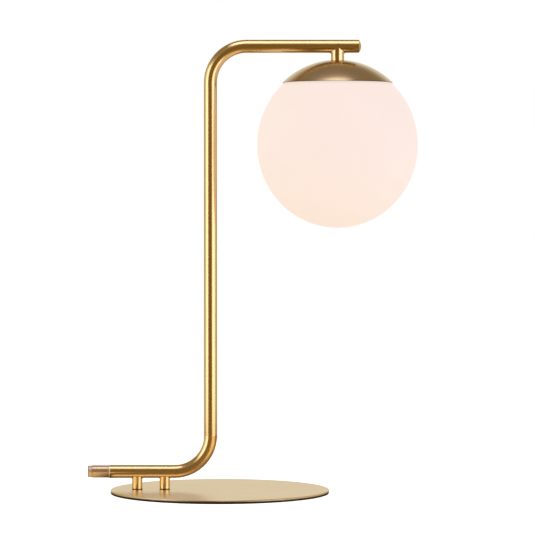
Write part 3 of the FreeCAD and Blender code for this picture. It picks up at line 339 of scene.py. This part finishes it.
WORN_BY = {
    "gold_tube": ["stem_tube", "arm_end_plug"],
    "gold_bush": ["neck_bush"],
    "bright_ring": ["joint_ring"],
    "gold_post": ["outer_post", "inner_post"],
    "gold_cap": ["globe_cap"],
    "gold_base": ["base_plate"],
    "rose_gland": ["cord_gland"],
    "opal_glass": ["glass_globe"],
    "zinc": ["base_screws", "hollow_nipple", "toothed_washer", "cap_nut", "holder_spacer", "glass_holder",
             "holder_nut", "lampholder_bracket", "lampholder_screws", "earth_screw", "bulb_pins"],
    "brass": ["lampholder_contacts", "earth_tag", "crimp_ferrules"],
    "pad": ["base_pad"],
    "nylon": ["gland_screw"],
    "silicone": ["globe_gasket"],
    "ceramic": ["lampholder_body"],
    "brown_lead": ["live_lead"],
    "blue_lead": ["neutral_lead"],
    "green_lead": ["earth_lead"],
    "bulb_white": ["bulb_base"],
    "board": ["bulb_board"],
    "phosphor": ["bulb_chips"],
    "diffuser": ["bulb_cover"],
}


def make_finishes():
    finishes = {name: satin_metal(name, **values) for name, values in METALS.items()}
    finishes.update({name: plain_surface(name, **values) for name, values in PLAIN.items()})
    finishes["rose_gland"] = rose_gland()
    finishes["opal_glass"] = opal_glass()
    return finishes


def dress_nodes(finishes):
    for finish, names in WORN_BY.items():
        for name in names:
            slots = NODES[name].data.materials
            slots.clear()
            slots.append(finishes[finish])


# ---- Studio

# What the metal reflects near the horizon, from the camera's side of the lamp round to behind it: places on
# the ramp are (1 - cosine of the azimuth) / 2.
HORIZON = [
    (0.00, (0.24, 0.15, 0.03)),
    (0.09, (0.30, 0.22, 0.08)),
    (0.30, (0.80, 0.76, 0.58)),
    (0.52, (0.95, 1.02, 0.90)),
    (0.68, (0.85, 0.90, 0.80)),
    (0.80, (0.50, 0.48, 0.36)),
    (0.91, (0.44, 0.41, 0.34)),
    (0.97, (1.00, 1.02, 1.01)),
    (1.00, (1.04, 1.06, 1.05)),
]
OVERHEAD = (0.33, 0.26, 0.19)
HORIZON_TOP = 0.32                 # sine of the elevation where the overhead colour starts to mix in
OVERHEAD_LOW = 0.70                # and where it has taken over
NEAR_ZERO = 0.001                  # keeps the azimuth defined straight up and down


def make_world():
    """White behind the lamp for the camera, and a studio of soft warm tones in the metal's reflections."""
    world = bpy.data.worlds.new("studio")
    bpy.context.scene.world = world
    nodes = Tree(world)
    x, y, z = nodes.axes(nodes.add("ShaderNodeTexCoord").outputs["Generated"])
    squares = nodes.calculate("ADD", nodes.calculate("MULTIPLY", x, x), nodes.calculate("MULTIPLY", y, y))
    level = nodes.calculate("SQRT", squares)
    behind = nodes.calculate("DIVIDE", y, nodes.calculate("MAXIMUM", level, NEAR_ZERO))
    place = nodes.calculate("MULTIPLY", nodes.calculate("ADD", behind, 1.0), 0.5)
    rise = nodes.map_range(z, (HORIZON_TOP, OVERHEAD_LOW), interpolation_type="SMOOTHSTEP")
    room = nodes.add("ShaderNodeBackground")
    nodes.give(nodes.mix(rise, nodes.ramp(place, HORIZON), rgba(OVERHEAD)), room.inputs["Color"])
    backdrop = nodes.add("ShaderNodeBackground")
    nodes.give(rgba(WHITE), backdrop.inputs["Color"])
    output = nodes.add("ShaderNodeOutputWorld")
    nodes.give(nodes.for_ray("Is Camera Ray", backdrop, room), output.inputs["Surface"])


LIGHT_COLOUR = (1.0, 1.0, 1.10)
LIT_HEIGHT = 0.22                  # the height on the lamp that the side lights face
SIDE_DISTANCE = 1.7
SIDE_HEIGHT = 0.25
SIDE_TALL = 1.9
LEFT = dict(azimuth=-61, width=1.15, radiance=1.6)
RIGHT = dict(azimuth=52, width=1.6, radiance=1.65)
TOP_X = -0.04
TOP_Y = -0.47
TOP_Z = 1.7
TOP_WIDTH = 0.95
TOP_LENGTH = 1.16
TOP_RADIANCE = 2.1
TOP_FACES_Z = 0.2
TOP_LEAN = 0.001                   # off straight down, so that the light's sides lie along X and Y


def softbox(name, place, target, width, height, radiance):
    """A large soft light. Its power follows from its size and how bright it looks in a reflection."""
    data = bpy.data.lights.new(name, "AREA")
    data.shape = "RECTANGLE"
    data.size = width
    data.size_y = height
    data.energy = radiance * math.pi * width * height
    data.color = LIGHT_COLOUR
    light = new_object(name, data)
    light.location = place
    light.visible_camera = False
    aim(light, target)


def side_softbox(name, azimuth, width, radiance):
    """A tall softbox beside the lamp. Azimuth 0 is in front of it and 90 on its right."""
    angle = math.radians(azimuth)
    place = (VIEW_X + SIDE_DISTANCE * math.sin(angle), -SIDE_DISTANCE * math.cos(angle), SIDE_HEIGHT)
    softbox(name, place, (VIEW_X, 0.0, LIT_HEIGHT), width, SIDE_TALL, radiance)


def make_lights():
    """Two tall softboxes beside the lamp, and one over it, a little towards the camera."""
    side_softbox("left_softbox", **LEFT)
    side_softbox("right_softbox", **RIGHT)
    below = (TOP_X, TOP_Y + TOP_LEAN, TOP_FACES_Z)
    softbox("top_softbox", (TOP_X, TOP_Y, TOP_Z), below, TOP_WIDTH, TOP_LENGTH, TOP_RADIANCE)


FLOOR_RADIUS = 0.6
FLOOR_SIDES = 96
FLOOR_DROP = 0.0002                # the gap under the lamp's pad
FLOOR_SPOTS = ((0.72, 0.71, 0.70), (0.74, 0.73, 0.72))
FLOOR_GLOW = (0.1, 0.8)            # its own light for the studio, and for the camera
# How the metal sees the floor, by the distance from the lamp's middle: in the base's shade, near the lamp,
# and far from it.
FLOOR_RINGS = [
    (0.125, (0.03, 0.02, 0.01)),
    (0.145, (0.52, 0.37, 0.19)),
    (0.45, (0.28, 0.18, 0.04)),
]
RINGS_NARROWER = 1.22              # along X
# The side lights' soft reflections in the floor, by azimuth: from behind the lamp on its left, 0, round the
# camera's side, 0.5, to behind it again, 1.
FLOOR_SHEEN = [
    (0.22, 1.0),
    (0.27, 2.6),
    (0.36, 2.6),
    (0.41, 1.0),
    (0.56, 1.0),
    (0.60, 3.4),
    (0.70, 3.4),
    (0.76, 1.0),
]
SHEEN_FULL = 5.0                   # more than any of them, as a colour ramp holds 0 to 1


def floor_finish():
    """Near white for the camera, and dim and warm in the metal's reflections."""
    nodes = Finish("floor")
    nodes.feed(nodes.mottle(*FLOOR_SPOTS, scale=3.0, detail=3.0), "Base Color")
    nodes.set_shader(Roughness=0.9, Specular_IOR_Level=0.1, Emission_Color=rgba(WHITE))
    nodes.feed(nodes.map_range(nodes.ray("Is Camera Ray"), (0.0, 1.0), FLOOR_GLOW), "Emission Strength")

    narrowed = nodes.add("ShaderNodeVectorMath", operation="MULTIPLY")
    nodes.give(nodes.place, narrowed.inputs[0])
    nodes.give((RINGS_NARROWER, 1.0, 1.0), narrowed.inputs[1])
    distance = nodes.add("ShaderNodeVectorMath", operation="LENGTH")
    nodes.give(narrowed.outputs["Vector"], distance.inputs[0])

    x, y, _ = nodes.axes(nodes.place)
    azimuth = nodes.calculate("ARCTAN2", x, nodes.calculate("MULTIPLY", y, -1.0))
    turn = nodes.map_range(azimuth, (-math.pi, math.pi))
    sheen = nodes.ramp(turn, [(place, scaled(WHITE, level / SHEEN_FULL)) for place, level in FLOOR_SHEEN])

    reflected = nodes.add("ShaderNodeEmission")
    nodes.give(nodes.ramp(distance.outputs["Value"], FLOOR_RINGS), reflected.inputs["Color"])
    nodes.give(nodes.map_range(sheen, (0.0, 1.0), (0.0, SHEEN_FULL)), reflected.inputs["Strength"])
    nodes.give(nodes.for_ray("Is Glossy Ray", reflected, nodes.shader), nodes.output.inputs["Surface"])
    return nodes.material


def make_floor():
    """A round pale floor under the lamp."""
    corners = []
    for side in range(FLOOR_SIDES):
        angle = 2 * math.pi * side / FLOOR_SIDES
        corners.append((FLOOR_RADIUS * math.cos(angle), FLOOR_RADIUS * math.sin(angle), -FLOOR_DROP))
    mesh = bpy.data.meshes.new("floor")
    mesh.from_pydata(corners, [], [list(range(FLOOR_SIDES))])
    mesh.materials.append(floor_finish())
    floor = new_object("floor", mesh)


# ---- The whole scene

make_camera()
make_world()
make_lights()
make_floor()
dress_nodes(make_finishes())
view_settings = bpy.context.scene.view_settings
view_settings.view_transform = "Standard"
view_settings.look = "None"
